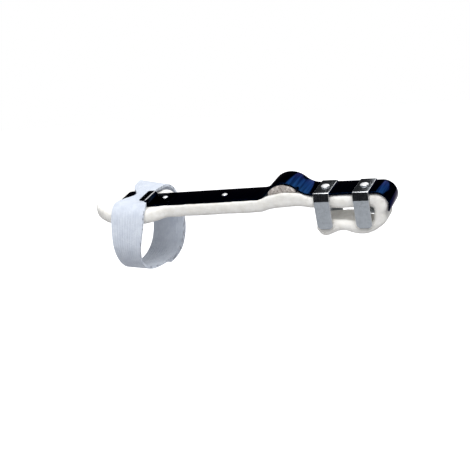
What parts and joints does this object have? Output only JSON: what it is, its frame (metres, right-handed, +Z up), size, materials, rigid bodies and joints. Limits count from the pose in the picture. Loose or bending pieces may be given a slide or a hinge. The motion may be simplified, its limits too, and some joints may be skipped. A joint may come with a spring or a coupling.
{
  "type": "finger splint",
  "caption": "Dorsal finger splint: bent spring steel blade on a felt lining, with finger bands, a knuckle pad and a wrist strap.",
  "frame": {"origin": "middle of the felt lining's underside where it sits on the back of the wrist, below the strap", "axes": "+X from the wrist to the fingertip, +Y across the hand away from the thumb, +Z up away from the back of the wrist"},
  "size_m": [0.2002, 0.0642, 0.0596],
  "materials": {
    "blued_steel": "polished, dark blued",
    "bright_steel": "semi-polished",
    "rivet_steel": "polished",
    "white_felt": "dense felt",
    "grey_felt": "felt",
    "white_webbing": "brushed loop webbing"
  },
  "bodies": {
    "root": {"blade": "blued_steel", "felt_lining": "white_felt", "knuckle_pad": "grey_felt", "finger_band_1": "bright_steel", "band_rivet_1": "rivet_steel", "finger_band_2": "bright_steel", "band_rivet_2": "rivet_steel", "strap_keeper": "blued_steel", "keeper_rivet": "rivet_steel", "blade_rivet": "rivet_steel", "wrist_strap": "white_webbing"}
  },
  "joints": []
}
